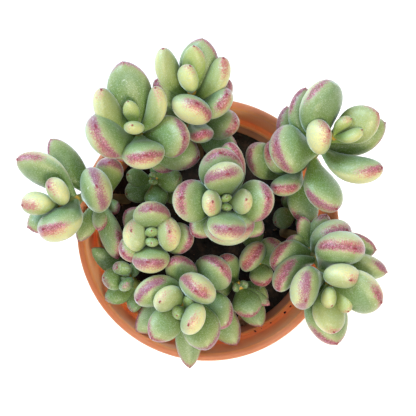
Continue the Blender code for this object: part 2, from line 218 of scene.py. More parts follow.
terracotta, tree, shader = new_material("moulded terracotta plastic")
blotch = grain(tree, 38, 3)
scuff = grain(tree, 420, 4, .7)
height = node(tree, "ShaderNodeSeparateXYZ", {"Vector": object_place(tree)}).outputs["Z"]
shade = mix(tree, fade(tree, blotch, .35, .65), TERRACOTTA, TERRACOTTA_PALE)
shade = mix(tree, fade(tree, scuff, .62, .8, 0, .35), shade, TERRACOTTA_PALE)
radius = node(tree, "ShaderNodeVectorMath", {0: object_place(tree), 1: (1, 1, 0)},
              operation="MULTIPLY").outputs["Vector"]
radius = node(tree, "ShaderNodeVectorMath", {0: radius}, operation="LENGTH").outputs["Value"]
leaning = calc(tree, "SUBTRACT", radius, calc(tree, "MULTIPLY", height, .15))
# Painted light: the inner wall of the rim band, from the ledge up to the lip, is painted a brighter
# terracotta in place of light that doesn't reach it.
painted_light_inner_wall = calc(tree, "MULTIPLY", fade(tree, leaning, .0525, .0501), fade(tree, height, .0868, .088))
painted_light_inner_wall = calc(tree, "MULTIPLY", painted_light_inner_wall, fade(tree, radius, .0672, .0650))
shade = mix(tree, painted_light_inner_wall, shade, TERRACOTTA_PAINTED_LIGHT)
# Painted shade: the outer side of the lip is painted a darker terracotta all round.
outside = calc(tree, "MULTIPLY", fade(tree, radius, .0684, .0698), fade(tree, height, .1095, .108))
shade = mix(tree, calc(tree, "MULTIPLY", outside, .9), shade, TERRACOTTA_DEEP)
flared = calc(tree, "SUBTRACT", radius, calc(tree, "MULTIPLY", height, .165))
# The inner wall is darker towards the potting mix, from below the ledge down, with a blotchy edge.
low_inner_darkening = calc(tree, "ADD", height, calc(tree, "MULTIPLY", blotch, .012))
low_inner_darkening = calc(tree, "MULTIPLY", fade(tree, low_inner_darkening, .078, .094, .85, 0), fade(tree, flared, .0470, .0458))
shade = mix(tree, low_inner_darkening, shade, TERRACOTTA_DEEP)
tree.links.new(shade, shader.inputs["Base Color"])
tree.links.new(fade(tree, scuff, .3, .7, .4, .58), shader.inputs["Roughness"])
shader.inputs["IOR"].default_value = 1.42
shader.inputs["Subsurface Weight"].default_value = .8
shader.inputs["Subsurface Radius"].default_value = (1, .8, .55)
shader.inputs["Subsurface Scale"].default_value = .006
shader.inputs["Sheen Weight"].default_value = 1
shader.inputs["Sheen Roughness"].default_value = .5
shader.inputs["Sheen Tint"].default_value = (1, .62, .42, 1)
bump(tree, shader, calc(tree, "ADD", scuff, calc(tree, "MULTIPLY", blotch, 2.0)), .00012)
pot.data.materials.append(terracotta)
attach(pot, "root")
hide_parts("pot")

# Potting mix. The real one is dark peat and composted bark with a few pale grains, filled to
# just below the pot's ledge. It is made as a disc that is inset to fine rings, raised into
# lumps and extruded down to the pot's floor.
SOIL_EDGE_Z_MM = 77
SOIL_CROWN_Z_MM = 79
SOIL_SIDES = 144
SOIL_RINGS = 44
LUMP_MM = 1.3
CRUMB_MM = .5
PEAT = (0.006, 0.004, 0.003, 1)
BARK_CHIP = (0.035, 0.018, 0.010, 1)

soil_edge = body_radius(SOIL_EDGE_Z_MM) - WALL_MM - .6
soil_foot = body_radius(FLOOR_MM + 2) - WALL_MM - .6
bpy.ops.object.select_all(action="DESELECT")
bpy.ops.mesh.primitive_circle_add(vertices=SOIL_SIDES, radius=soil_edge * MM, fill_type="NGON",
                                  location=(0, 0, SOIL_EDGE_Z_MM * MM))
soil = bpy.context.object
soil.name = "peat_and_bark"
bpy.ops.object.transform_apply(location=True, rotation=True, scale=True)
bpy.ops.object.mode_set(mode="EDIT")
bpy.ops.mesh.select_all(action="SELECT")
for ring in range(SOIL_RINGS):
    bpy.ops.mesh.inset(thickness=soil_edge * MM * .97 / SOIL_RINGS)
bpy.ops.object.mode_set(mode="OBJECT")
for vert in soil.data.vertices:
    reach = vert.co.xy.length / (soil_edge * MM)
    crown = (SOIL_CROWN_Z_MM - SOIL_EDGE_Z_MM) * (1 - reach ** 2)
    lump = noise.fractal(vert.co * 110, 0.9, 2.1, 3) * LUMP_MM
    crumb = noise.noise(vert.co * 620) * CRUMB_MM
    vert.co.z += (crown + lump * (1.15 - reach) + crumb) * MM
bpy.ops.object.mode_set(mode="EDIT")
bpy.ops.mesh.select_all(action="SELECT")
bpy.ops.mesh.region_to_loop()
bpy.ops.mesh.extrude_edges_move(
    TRANSFORM_OT_translate={"value": (0, 0, (FLOOR_MM + 2 - SOIL_EDGE_Z_MM) * MM)})
narrow = soil_foot / soil_edge
bpy.ops.transform.resize(value=(narrow, narrow, 0),
                         center_override=(0, 0, (FLOOR_MM + .3) * MM))
bpy.ops.mesh.edge_face_add()
bpy.ops.mesh.select_all(action="SELECT")
bpy.ops.mesh.normals_make_consistent(inside=False)
bpy.ops.object.mode_set(mode="OBJECT")
smooth(soil, 60)

peat, tree, shader = new_material("peat and bark")
clump = grain(tree, 260, 4, .6)
fleck = grain(tree, 1500, 2)
shade = mix(tree, fade(tree, clump, .45, .7), PEAT, BARK_CHIP)
shade = mix(tree, fade(tree, fleck, .7, .74, 0, .6), shade, (0.22, 0.18, 0.13, 1))
tree.links.new(shade, shader.inputs["Base Color"])
shader.inputs["Roughness"].default_value = .92
bump(tree, shader, clump, .0012)
soil.data.materials.append(peat)
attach(soil, "root")
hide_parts("potting_mix")

# Crumbs and a dry leaf. The real pot has loose grains of peat, bark and pale grit on the mix and
# on the ledge, and a withered leaf that fell against the wall. The crumbs are copies of one
# small lump, and the leaf is a grid that is curled and wrinkled, then given a thickness.
CRUMB_COUNT = 240
LEDGE_CRUMBS = ((26.0, -56.1, .9), (34.7, -51.6, .7), (42.4, -45.8, 1.0), (45.6, -42.4, .8),
                (29.6, -54.7, .5), (-31.0, -53.9, .6), (50.2, -36.8, .5), (-20.5, 58.6, .6))
DRY_LEAF_PLACE = (19.6, -49.4, 80.6)
DRY_LEAF_LENGTH = 11
DRY_LEAF_WIDTH = 6.4
DRY_BROWN = (0.26, 0.15, 0.075, 1)
DRY_PALE = (0.42, 0.26, 0.17, 1)


def add_values(mesh, name, values):
    mesh.attributes.new(name, "FLOAT", "POINT").data.foreach_set("value", values)


def soil_height(x, y):
    """The height of the potting mix's surface at a place, in mm."""
    hit, place, *_ = soil.ray_cast((x * MM, y * MM, .2), (0, 0, -1))
    return place.z / MM if hit else SOIL_EDGE_Z_MM


bpy.ops.object.select_all(action="DESELECT")
bpy.ops.mesh.primitive_ico_sphere_add(subdivisions=1, radius=1)
lump = bpy.context.object
scatter = random.Random(5)
spots = [(x, y, LEDGE_Z_MM + .1, size) for x, y, size in LEDGE_CRUMBS]
for i in range(CRUMB_COUNT):
    reach = 55.5 * scatter.random() ** .5
    angle = scatter.uniform(0, math.tau)
    x, y = reach * math.cos(angle), reach * math.sin(angle)
    spots.append((x, y, soil_height(x, y), scatter.uniform(.35, 1.3)))
heap = []
for x, y, z, size in spots:
    crumb = bpy.data.objects.new("crumb", lump.data.copy())
    bpy.context.collection.objects.link(crumb)
    turn = Matrix.Rotation(scatter.uniform(0, math.tau), 3, (scatter.random(), 1, scatter.random()))
    stretch = Vector((scatter.uniform(.6, 1.5), scatter.uniform(.5, 1), scatter.uniform(.4, .8)))
    for vert in crumb.data.vertices:
        knocked = vert.co * stretch * size * scatter.uniform(.8, 1.2)
        vert.co = (Vector((x, y, z + size * .3)) + turn @ knocked) * MM
    add_values(crumb.data, "crumb_kind", [scatter.random()] * len(crumb.data.vertices))
    heap.append(crumb)
bpy.ops.object.select_all(action="DESELECT")
for crumb in heap:
    crumb.select_set(True)
bpy.context.view_layer.objects.active = heap[0]
bpy.ops.object.join()
crumbs = bpy.context.object
crumbs.name = "loose_crumbs"
bpy.data.objects.remove(lump, do_unlink=True)
loose, tree, shader = new_material("loose peat, bark and grit")
kind = node(tree, "ShaderNodeAttribute", {}, attribute_name="crumb_kind").outputs["Fac"]
shade = mix(tree, fade(tree, kind, .3, .5), PEAT, BARK_CHIP)
shade = mix(tree, fade(tree, kind, .72, .76), shade, (0.13, 0.07, 0.035, 1))
shade = mix(tree, fade(tree, kind, .93, .94), shade, (0.42, 0.38, 0.31, 1))
shade = mix(tree, fade(tree, grain(tree, 1400, 2), .4, .8, 0, .4), shade, PEAT)
tree.links.new(shade, shader.inputs["Base Color"])
shader.inputs["Roughness"].default_value = .9
bump(tree, shader, grain(tree, 2200, 3), .0003)
crumbs.data.materials.append(loose)
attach(crumbs, "root")

bpy.ops.object.select_all(action="DESELECT")
bpy.ops.mesh.primitive_grid_add(x_subdivisions=24, y_subdivisions=16, size=2)
dry_leaf = bpy.context.object
dry_leaf.name = "dry_leaf"
tilt = Matrix.Rotation(math.radians(38), 3, "X") @ Matrix.Rotation(math.radians(12), 3, "Y")
for vert in dry_leaf.data.vertices:
    x, y, _ = vert.co
    taper = (1 - y * y * .92) ** .5
    curl = .9 * abs(x) ** 1.6 + .35 * math.sin(2.6 * y + 1)
    wrinkle = noise.noise(Vector((x * 2.2, y * 1.6, 3))) * .45
    flat = Vector((x * taper * DRY_LEAF_WIDTH / 2, y * DRY_LEAF_LENGTH / 2, curl + wrinkle))
    vert.co = (Vector(DRY_LEAF_PLACE) + tilt @ flat) * MM
shell = dry_leaf.modifiers.new("Shell", "SOLIDIFY")
shell.thickness = .5 * MM
bpy.ops.object.modifier_apply(modifier="Shell")
smooth(dry_leaf, 60)
withered, tree, shader = new_material("withered leaf")
shade = mix(tree, fade(tree, grain(tree, 500, 3, .6), .35, .7), DRY_BROWN, DRY_PALE)
shade = mix(tree, fade(tree, grain(tree, 1500, 2), .6, .8, 0, .6), shade, BARK_CHIP)
tree.links.new(shade, shader.inputs["Base Color"])
shader.inputs["Roughness"].default_value = .8
bump(tree, shader, grain(tree, 900, 3, .6), .0005)
dry_leaf.data.materials.append(withered)
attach(dry_leaf, "root")

# Branches. The real ones are fleshy stems, green at the tip and brownish with age, ringed by
# the scars of fallen leaves. Each is made from one straight rod, copied and bent along its
# route, and swollen a little where a pair of leaves leaves it.
STEM_FOOT_RADIUS_MM = 3.0
STEM_TIP_RADIUS_MM = 1.8
STEM_STEP_MM = 7
ROD_SIDES = 16
ROD_RINGS = 72
NODE_SWELL_MM = .35
NODE_REACH_MM = 1.1

# Each stem: the points of its route from the soil up, then its pairs of leaves from the tip
# down. A pair is its distance below the tip and two leaves. A leaf is its heading, counted
# from +X towards +Y, its rise above level, its length and width and, where they aren't the
# usual ones, its bow and its turn about its own length. Millimetres and degrees.
STEMS = {
    "centre": ([(7, 8, 64), (7, 10, 110), (8, 12, 145), (9, 13, 158)], [
        (0, (90, 70, 7, 5.5), (270, 66, 7, 5.5)),
        (2, (178, 67, 17, 14, .18), (8, 59, 18, 12.5, .15, -2)),
        (5, (278, 62, 27, 19, .14, -4), (88, 62, 28.5, 19.5, .17, 3)),
        (9, (7, 48, 30, 20.5, .11, 2), (173, 47, 31.5, 21, .14)),
        (14, (95, 41, 33, 22, .1), (285, 61, 28.5, 25, .09, -2)),
        (21, (222, 20, 22, 14), (85, 35, 37, 17, .08, -47)),
        (27, (328, 20, 25, 14), (150, 12, 22, 15)),
        (34, (184, 10, 21, 15), (14, 12, 22, 15))]),
    "top": ([(-5, 39, 64), (-6, 49, 105), (-8, 61, 138), (-8, 68, 150)], [
        (0, (87, 28, 23.5, 12, .1, -10), (93, 58, 19.5, 13)),
        (7, (120, 33, 32, 16, .12, 28), (51, 32, 29, 16.5, .12, -28)),
        (8, (308, 79, 24.5, 21, .13, -37), (80, 20, 32, 20)),
        (12, (11, 50, 27.5, 17.5, .1, -2), (148, 36, 25.5, 14.5, .07, 6)),
        (18, (39, 25, 26, 16, .08, -11), (297, 61, 28, 13, .18, -11)),
        (26, (351, 40, 28, 17, .1, 6), (165, 40, 21, 14)),
        (34, (325, 16, 27, 16), (236, 10, 24, 16))]),
    "upper_left": ([(-30, 33, 64), (-31, 40, 110), (-34, 46, 143), (-35, 50, 155)], [
        (0, (107, 33, 14.5, 8, .09, -3), (211, 86, 15, 10, .04, -5)),
        (6, (131, 36, 31, 16.5, .17, 38), (65, 40, 28.5, 14.5, .15, -38)),
        (8, (292, 60, 25, 21, .16, -14), (102, 19, 36.5, 22)),
        (12, (354, 43, 30.5, 21, .11, 35), (172, 54, 33.5, 24.5, .13, 8)),
        (19, (343, 14, 31, 19, .08, 1), (83, 6, 20, 15)),
        (28, (325, 12, 20, 15), (190, -2, 18, 12))]),
    "left": ([(-42, 17, 64), (-54, 17, 106), (-62, 17, 121), (-67, 16, 129),
              (-74, 13, 134), (-80, 13, 138)], [
        (0, (102, 52, 4, 4), (202, 60, 4, 4)),
        (5, (109, 62, 18, 16, .15, 9), (183, 34, 20, 18.5, .01, -1)),
        (15, (230, 46, 29.5, 25, .12, -48), (145, 18, 36, 21, .1, 8)),
        (20, (209, 2, 32, 18), (22, 70, 32, 23.5)),
        (31, (127, 12, 38, 16, .08, 55), (290, 0, 34.5, 15, .03, 14)),
        (34, (246, 7, 25.5, 10.5, .07, -6), (275, 29, 20, 9, .07, -13)),
        (43, (80, 52, 29, 15, .14, 30), (300, 10, 10, 8))]),
    "right_upper": ([(31, 18, 64), (41, 26, 108), (53, 37, 135), (58, 43, 146), (62, 46, 151)], [
        (0, (45, 38, 13.5, 8.5, .1), (10, 38, 16, 10, .1)),
        (5, (108, 80, 20.5, 18, .23, -18), (28, 25, 29, 18.5, .08, 17)),
        (11, (338, 32, 35, 21, .14, -22), (84, 36, 36, 26.5, .1, 6)),
        (14, (22, 6, 36, 20, .06, 8), (173, 29, 25, 26, .13, -4)),
        (20, (292, 20, 31, 21.5, .1, -12), (97, 9, 34.5, 17.5, .12, 6)),
        (33, (218, 44, 25, 15.5, .12, 54), (103, 6, 32, 15)),
        (38, (286, 5, 29, 17, .08, 1), (140, 43, 26, 18, .06)),
        (46, (148, 43, 33.5, 18, .1, -9), (300, 4, 26, 16))]),
    "right_lower": ([(40, -1, 64), (48, -4, 104), (53, -10, 122), (58, -21, 136),
                     (62, -29, 143)], [
        (0, (261, 51, 13.5, 11, .11, 15), (301, 32, 15.5, 10.5, .09, -5)),
        (3, (16, 68, 21.5, 19, .11, -16), (273, 22, 25.5, 19, .1, 16)),
        (7, (220, 56, 28.5, 22, .16, 21), (335, 30, 32, 25, 0, -10)),
        (13, (281, 6, 38.5, 23.5, .12, -12), (37, 54, 29.5, 26, .13, 1)),
        (20, (216, 32, 29.5, 18.5, .13, -17), (350, 8, 36, 17.5, .01, 14)),
        (26, (36, 44, 27, 22, .09, 26), (195, 35, 26, 19, .1, -1)),
        (28, (108, 24, 20, 8.5), (68, 18, 21, 11)),
        (30, (359, 7, 34, 17, .07, -1), (163, 39, 16.5, 9.5, .09, 1))]),
    "lower_mid": ([(-29, -1, 64), (-28, -3, 110), (-28, -4, 138)], [
        (0, (93, 64, 7.5, 7, .08, 3), (266, 65, 6.5, 7, .08, -3)),
        (3, (162, 43, 14.5, 17.5, .2, 30), (17, 55, 16, 18, .19, -14)),
        (8, (261, 54, 21, 19.5, .22, 9), (92, 57, 24.5, 19, .12, -1)),
        (14, (356, 43, 25.5, 16.5, .1, -8), (210, 46, 24, 15.5, .1, 12)),
        (20, (140, 10, 20, 15), (250, 4, 18, 12))]),
    "lower_left": ([(-35, -31, 64), (-36, -31, 100), (-40, -27, 113), (-43, -24, 120)], [
        (0, (60, 60, 4, 4), (240, 60, 4, 4)),
        (2, (129, 54, 12, 10.5, .1, -2), (251, 67, 11.5, 9, .11, 15)),
        (5, (176, 29, 15, 12.5, .08, -4), (70, 30, 10, 7)),
        (14, (204, 13, 18.5, 11.5, .09, 4), (262, 16, 15, 9)),
        (20, (141, 12, 33, 11), (145, 4, 24, 10, .08, 1))]),
    "bottom": ([(-6, -23, 64), (-6, -30, 108), (-9, -35, 128), (-12, -39, 139)], [
        (0, (228, 53, 8.5, 8), (42, 46, 8.5, 8)),
        (3, (170, 50, 19.5, 16, .15, 8), (280, 63, 19.5, 17.5, .15, -13)),
        (7, (56, 73, 26.5, 20.5, .16, 1), (225, 20, 27, 17)),
        (12, (182, 27, 29.5, 21.5, .17, -34), (289, 24, 28.5, 20, .08, -11)),
        (16, (268, -14, 40, 15, .1, -25), (116, 37, 26, 16, .1, 2)),
        (26, (313, 30, 27.5, 18.5, .1, -2), (43, 51, 28.5, 21, .11, -1)),
        (34, (217, 6, 40, 18), (304, 2, 38, 17))]),
    "deep": ([(-28, 18, 64), (-29, 24, 95), (-29, 27, 109)], [
        (0, (90, 72, 6, 5), (270, 72, 6, 5)),
        (3, (169, 36, 16.5, 10.5, .11, 2), (2, 30, 16, 13.5, .13, 7)),
        (7, (280, 36, 16, 13), (66, 40, 12, 10)),
        (13, (200, 30, 18, 13), (340, 20, 20, 13))]),
    "inner_right": ([(24, -8, 64), (26, -14, 90), (27, -17, 104)], [
        (0, (140, 78, 19, 18, .1, 20), (33, 50, 19, 17.5, .1, -20)),
        (6, (284, 33, 16.5, 13, .1), (178, 24, 10, 8)),
        (14, (350, 20, 24, 14), (100, 20, 20, 13))]),
    "lower_right": ([(12, -28, 64), (15, -29, 95), (17, -30, 110)], [
        (0, (200, 60, 6, 5), (20, 60, 6, 5)),
        (3, (295, 31, 19, 16, .08, -1), (328, 22, 20, 6.5, .08, -6)),
        (9, (300, 6, 26, 14), (118, 48, 24, 14, .1)),
        (15, (200, 20, 14, 11), (330, 6, 20, 13))]),
    "mid_right": ([(47, 10, 64), (49, 10, 82), (50, 9, 91)], [
        (0, (285, 24, 11, 7), (100, 60, 5, 4)),
        (3, (203, 28, 16, 12), (20, 34, 9.5, 7)),
        (10, (120, 20, 12, 9), (60, 30, 9, 7.5))]),
}
GREEN_BARK = (0.20, 0.23, 0.06, 1)
OLD_BARK = (0.23, 0.16, 0.075, 1)
LEAF_SCAR = (0.70, 0.40, 0.06, 1)


def smooth_route(points):
    """Points every few millimetres on a Catmull-Rom curve through a stem's own points."""
    knots = [Vector(p) for p in points]
    knots = [2 * knots[0] - knots[1]] + knots + [2 * knots[-1] - knots[-2]]
    route = []
    for a, b, c, d in zip(knots, knots[1:], knots[2:], knots[3:]):
        steps = max(2, int((c - b).length / STEM_STEP_MM))
        for i in range(steps):
            t = i / steps
            route.append(.5 * (2 * b + (c - a) * t + (2 * a - 5 * b + 4 * c - d) * t ** 2
                               + (3 * b - a - 3 * c + d) * t ** 3))
    return route + [knots[-2]]


def point_below_tip(route, distance):
    """The point and the direction of a stem at a distance back from its tip."""
    left = distance
    for upper, lower in zip(reversed(route), reversed(route[:-1])):
        span = upper - lower
        if span.length >= left:
            return upper - span.normalized() * left, span.normalized()
        left -= span.length
    return route[0], (route[1] - route[0]).normalized()


bpy.ops.object.select_all(action="DESELECT")
bpy.ops.mesh.primitive_cylinder_add(vertices=ROD_SIDES, radius=1, depth=1, location=(0, 0, .5))
rod = bpy.context.object
rod.name = "straight_rod"
bpy.ops.object.transform_apply(location=True, rotation=True, scale=True)
bpy.ops.object.mode_set(mode="EDIT")
bpy.ops.mesh.select_mode(type="EDGE")
bpy.ops.mesh.select_all(action="DESELECT")
bpy.ops.object.mode_set(mode="OBJECT")
for edge in rod.data.edges:
    low, high = (rod.data.vertices[i].co.z for i in edge.vertices)
    edge.select = abs(high - low) > .5
bpy.ops.object.mode_set(mode="EDIT")
bpy.ops.mesh.subdivide(number_cuts=ROD_RINGS)
bpy.ops.mesh.select_all(action="DESELECT")
bpy.ops.object.mode_set(mode="OBJECT")

bark, tree, shader = new_material("cotyledon bark")
age = node(tree, "ShaderNodeAttribute", {}, attribute_name="bark_age").outputs["Fac"]
scar = node(tree, "ShaderNodeAttribute", {}, attribute_name="bark_scar").outputs["Fac"]
rough_bark = grain(tree, 900, 4, .65)
shade = mix(tree, fade(tree, calc(tree, "ADD", age, calc(tree, "MULTIPLY", rough_bark, .3)),
                       .3, .8), GREEN_BARK, OLD_BARK)
shade = mix(tree, fade(tree, scar, .3, .9, 0, .8), shade, LEAF_SCAR)
shade = mix(tree, fade(tree, rough_bark, .5, .8, 0, .35), shade, (0.05, 0.035, 0.02, 1))
tree.links.new(shade, shader.inputs["Base Color"])
shader.inputs["Roughness"].default_value = .7
bump(tree, shader, rough_bark, .0004)


def bend_rod(name, points, pairs):
    """A copy of the rod, bent along a stem's route and swollen at its pairs of leaves."""
    route = smooth_route(points)
    spans = [(b - a).length for a, b in zip(route, route[1:])]
    total = sum(spans)
    branch = bpy.data.objects.new(name, rod.data.copy())
    bpy.context.collection.objects.link(branch)
    ages, scars = [], []
    for vert in branch.data.vertices:
        x, y, z = vert.co
        below = total * (1 - z)
        middle, along = point_below_tip(route, below)
        turn = Vector((0, 0, 1)).rotation_difference(along)
        radius = STEM_FOOT_RADIUS_MM + (STEM_TIP_RADIUS_MM - STEM_FOOT_RADIUS_MM) * z
        swell = max(math.exp(-((below - pair[0]) / NODE_REACH_MM) ** 2) for pair in pairs)
        wrinkle = noise.noise(Vector((x, y, z * total / 3))) * .15
        out = turn @ Vector((x, y, 0)) * (radius + NODE_SWELL_MM * swell + wrinkle)
        vert.co = (middle + out) * MM
        ages.append(min(1, below / 60))
        scars.append(swell)
    add_values(branch.data, "bark_age", ages)
    add_values(branch.data, "bark_scar", scars)
    branch.data.materials.append(bark)
    smooth(branch, 70)
    return branch


for name, (points, pairs) in STEMS.items():
    branch = bend_rod(f"branch_{name}", points, pairs)
    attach(branch, "root")
    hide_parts(f"stem_{name}")
bpy.data.objects.remove(rod, do_unlink=True)

# Leaves. The real ones are plump, waxy paddles with a narrow neck and a small point at the tip.
# The rim round the tip is crimson, and the youngest are creamy yellow. They are made from one
# sphere with a fine net, copied for each leaf and reshaped along the leaf's own directions.
LEAF_SIDES = 32
LEAF_RINGS = 24
WIDEST_AT = 0.58
PLUMPEST_AT = 0.64
NECK_WIDTH = 0.17
NECK_THICKNESS = 0.24
PLUMPNESS = 0.64
YOUNG_PLUMPNESS = 0.68
YOUNG_LENGTH_MM = 15
BUD_LENGTH_MM = 9
BOW = 0.08
BEAK_MM = 0.6
ROOT_MM = 0.5
SAGE = (0.155, 0.27, 0.115, 1)
FRESH = (0.25, 0.35, 0.07, 1)
BLOOM = (0.37, 0.52, 0.44, 1)
MEADOW = (0.10, 0.185, 0.02, 1)
CREAM = (0.78, 0.74, 0.35, 1)
LIME = (0.30, 0.44, 0.08, 1)
STRAW = (0.56, 0.55, 0.25, 1)
CRIMSON = (0.24, 0.018, 0.06, 1)
ROSE = (0.62, 0.17, 0.32, 1)
CORAL = (0.72, 0.22, 0.14, 1)
PLUM = (0.24, 0.07, 0.16, 1)
MAROON = (0.22, 0.008, 0.03, 1)
WAX = (0.70, 0.78, 0.72, 1)
OLDER = {"deep": .6, "inner_right": .7, "lower_right": .7, "mid_right": .6, "lower_left": .6}
# A leaf, by its stem, distance below the tip and heading, whose band lies well behind its middle.
BAND_SHIFT_MM = {("right_upper", 11, 84): 3.4}
# Stems grown in shade are greener and less red. On the stems deep in the clump, the dark meadow green
# is partly painted shade.
GREENER = {"deep": 1.2, "lower_left": .9, "mid_right": .8, "lower_right": .3}


def half_width(u):
    low = NECK_WIDTH + (1 - NECK_WIDTH) * np.sin(np.minimum(u / WIDEST_AT, 1) * np.pi / 2) ** 1.4
    high = (1 - (np.clip(u - WIDEST_AT, 0, None) / (1 - WIDEST_AT)) ** 2) ** .62
    return np.where(u < WIDEST_AT, low, high)


def half_thickness(u):
    swell = np.sin(np.minimum(u / PLUMPEST_AT, 1) * np.pi / 2) ** 1.3
    low = NECK_THICKNESS + (1 - NECK_THICKNESS) * swell
    high = (1 - (np.clip(u - PLUMPEST_AT, 0, None) / (1 - PLUMPEST_AT)) ** 2) ** .5
    return np.where(u < PLUMPEST_AT, low, high)


def leaf_axes(stem_direction, heading, rise, turn):
    """The leaf's directions: along it, across it, and out of its inner face."""
    along = Vector((math.cos(heading) * math.cos(rise), math.sin(heading) * math.cos(rise),
                    math.sin(rise)))
    across = stem_direction.cross(along).normalized()
    inner = along.cross(across).normalized()
    spin = Matrix.Rotation(turn, 3, along)
    return [np.array(v) for v in (along, spin @ across, spin @ inner)]


def rim_distance(length, width):
    """How far each point lies inside the leaf's outline, measured flat, in mm."""
    u = np.linspace(.15, 1, 60)
    outline = np.stack([length * u, width / 2 * half_width(u)], axis=1)
    flat = np.stack([length * ALONG, width / 2 * half_width(ALONG) * np.abs(AROUND[:, 0])], axis=1)
    return np.min(np.linalg.norm(flat[:, None] - outline[None], axis=2), axis=1)


bpy.ops.object.select_all(action="DESELECT")
bpy.ops.mesh.primitive_uv_sphere_add(segments=LEAF_SIDES, ring_count=LEAF_RINGS, radius=1)
blank = bpy.context.object
blank.name = "leaf_blank"
sphere = np.array([v.co for v in blank.data.vertices])
reach = np.hypot(sphere[:, 0], sphere[:, 1])
first_ring = math.cos(math.pi / LEAF_RINGS)
AROUND = sphere[:, :2] / np.maximum(reach, .001)[:, None]
ALONG = np.clip((sphere[:, 2] + first_ring) / (1 + first_ring), 0, 1)
POLE = reach < .001


def shape_leaf(base, stem_direction, leaf):
    """The places of a leaf's points, their distances from its middle face and from its rim."""
    heading, rise, length, width, *rest = leaf
    bow = rest[0] if rest else BOW
    turn = math.radians(rest[1]) if len(rest) > 1 else 0
    along, across, inner = leaf_axes(stem_direction, math.radians(heading),
                                     math.radians(rise), turn)
    thickness = width * (YOUNG_PLUMPNESS if length < YOUNG_LENGTH_MM else PLUMPNESS)
    u = ALONG[:, None]
    middle = np.array(base) + along * length * u - inner * 4 * bow * length * u * (1 - u)
    facing = inner + along * 4 * bow * (1 - 2 * u)
    facing /= np.linalg.norm(facing, axis=1)[:, None]
    side = AROUND[:, 1:]
    depth = thickness / 2 * half_thickness(u) * side * np.where(side > 0, .9, 1.1)
    places = middle + across * width / 2 * half_width(u) * AROUND[:, :1] + facing * depth
    places[POLE & (sphere[:, 2] > 0)] = np.array(base) + along * (length + BEAK_MM)
    places[POLE & (sphere[:, 2] < 0)] = np.array(base) - along * ROOT_MM
    depth[POLE] = 0
    return places, depth[:, 0], rim_distance(length, width)


skin, tree, shader = new_material("waxy cotyledon leaf")
along, depth, rim, age, chance, green = (
    node(tree, "ShaderNodeAttribute", {}, attribute_name=name).outputs["Fac"]
    for name in ("leaf_along", "leaf_depth", "leaf_rim", "leaf_age", "leaf_chance", "leaf_green"))
lean = node(tree, "ShaderNodeAttribute", {}, attribute_name="leaf_lean").outputs["Fac"]
patch = grain(tree, 130, 3)
mottle = grain(tree, 1100, 3, .6)
stipple = grain(tree, 1500, 3, .7)
marks = grain(tree, 520, 3, .7)
dusty = grain(tree, 3400, 1)
wander = calc(tree, "SUBTRACT", patch, .5)
young = fade(tree, age, .6, .1)
inner = fade(tree, depth, -.6, 2.4)
outer = fade(tree, depth, 0, -2.6)
shade = mix(tree, fade(tree, calc(tree, "ADD", chance, calc(tree, "MULTIPLY", age, -.4)), -.3, .9),
            SAGE, FRESH)
shade = mix(tree, fade(tree, calc(tree, "ADD", patch, calc(tree, "MULTIPLY", along, .3)),
                       .4, .95, 0, .38), shade, BLOOM)
# The inner face is a deeper meadow green, most towards the neck: partly the leaf's own green, partly
# painted shade where a pair of leaves and the stem crowd together.
neck_green_and_shade = fade(tree, along, .9, .3, .52, .95)
shade = mix(tree, calc(tree, "MULTIPLY", inner, neck_green_and_shade), shade, MEADOW)
belly = calc(tree, "MULTIPLY", outer, fade(tree, age, 1.0, .2, .3, 1))
shade = mix(tree, calc(tree, "MULTIPLY", belly, fade(tree, along, .1, .6, .1, .9)), shade, CREAM)
bright = mix(tree, fade(tree, along, .15, .65), LIME, CREAM)
lit = calc(tree, "MULTIPLY", young, fade(tree, depth, 2.4, -1.0, .3, .9))
shade = mix(tree, calc(tree, "MULTIPLY", lit, fade(tree, rim, .4, 2.6, .45, 1)), shade, bright)
shade = mix(tree, fade(tree, age, .12, 0, 0, .4), shade, LIME)
# Shade-grown stems and buds take the deeper meadow green. On the deep stems this is partly painted
# shade.
shade = mix(tree, calc(tree, "MULTIPLY", green, .55, True), shade, MEADOW)
frost = calc(tree, "MULTIPLY", fade(tree, along, .1, .7, .3, 1), fade(tree, depth, 2, -1, .4, 1))
shade = mix(tree, calc(tree, "MULTIPLY", fade(tree, mottle, .42, .68, 0, .5), frost), shade, BLOOM)
shade = mix(tree, calc(tree, "MULTIPLY", fade(tree, mottle, .56, .72, 0, .35),
                       fade(tree, depth, 1, -1, .15, 1)), shade, WAX)

flat_rim = calc(tree, "MULTIPLY", rim, rim)
skew = calc(tree, "MULTIPLY", depth, fade(tree, depth, -.5, .5, .42, 1))
from_rim = calc(tree, "SQRT", calc(tree, "ADD", calc(tree, "MULTIPLY", flat_rim, .6),
                                   calc(tree, "MULTIPLY", calc(tree, "MULTIPLY", skew, skew), .9)))
straw = calc(tree, "MULTIPLY", fade(tree, from_rim, 6.5, 2), fade(tree, along, .4, .85, 0, .34))
straw = calc(tree, "MULTIPLY", straw, fade(tree, green, .6, 0))
shade = mix(tree, straw, shade, STRAW)
from_rim = calc(tree, "ADD", from_rim, calc(tree, "MULTIPLY", wander, 2.4))
redness = calc(tree, "ADD", fade(tree, age, .05, .8, -.05, .9),
               calc(tree, "MULTIPLY", calc(tree, "SUBTRACT", chance, .5), .3))
redness = calc(tree, "SUBTRACT", redness, green)
nearness = fade(tree, from_rim, 3.5, -.4)
back = calc(tree, "ADD", calc(tree, "MULTIPLY", redness, .25), calc(tree, "MULTIPLY", lean, .16))
reach = fade(tree, calc(tree, "ADD", along, back), .74, 1.06)
power = calc(tree, "MULTIPLY", calc(tree, "MULTIPLY", nearness, reach),
             fade(tree, redness, -.5, .5))
spots = calc(tree, "MULTIPLY", calc(tree, "SUBTRACT", stipple, .5), 2.2)
band = fade(tree, calc(tree, "ADD", power, calc(tree, "MULTIPLY", spots, fade(tree, power, 0, .25))),
            .14, .86, 0, .94)
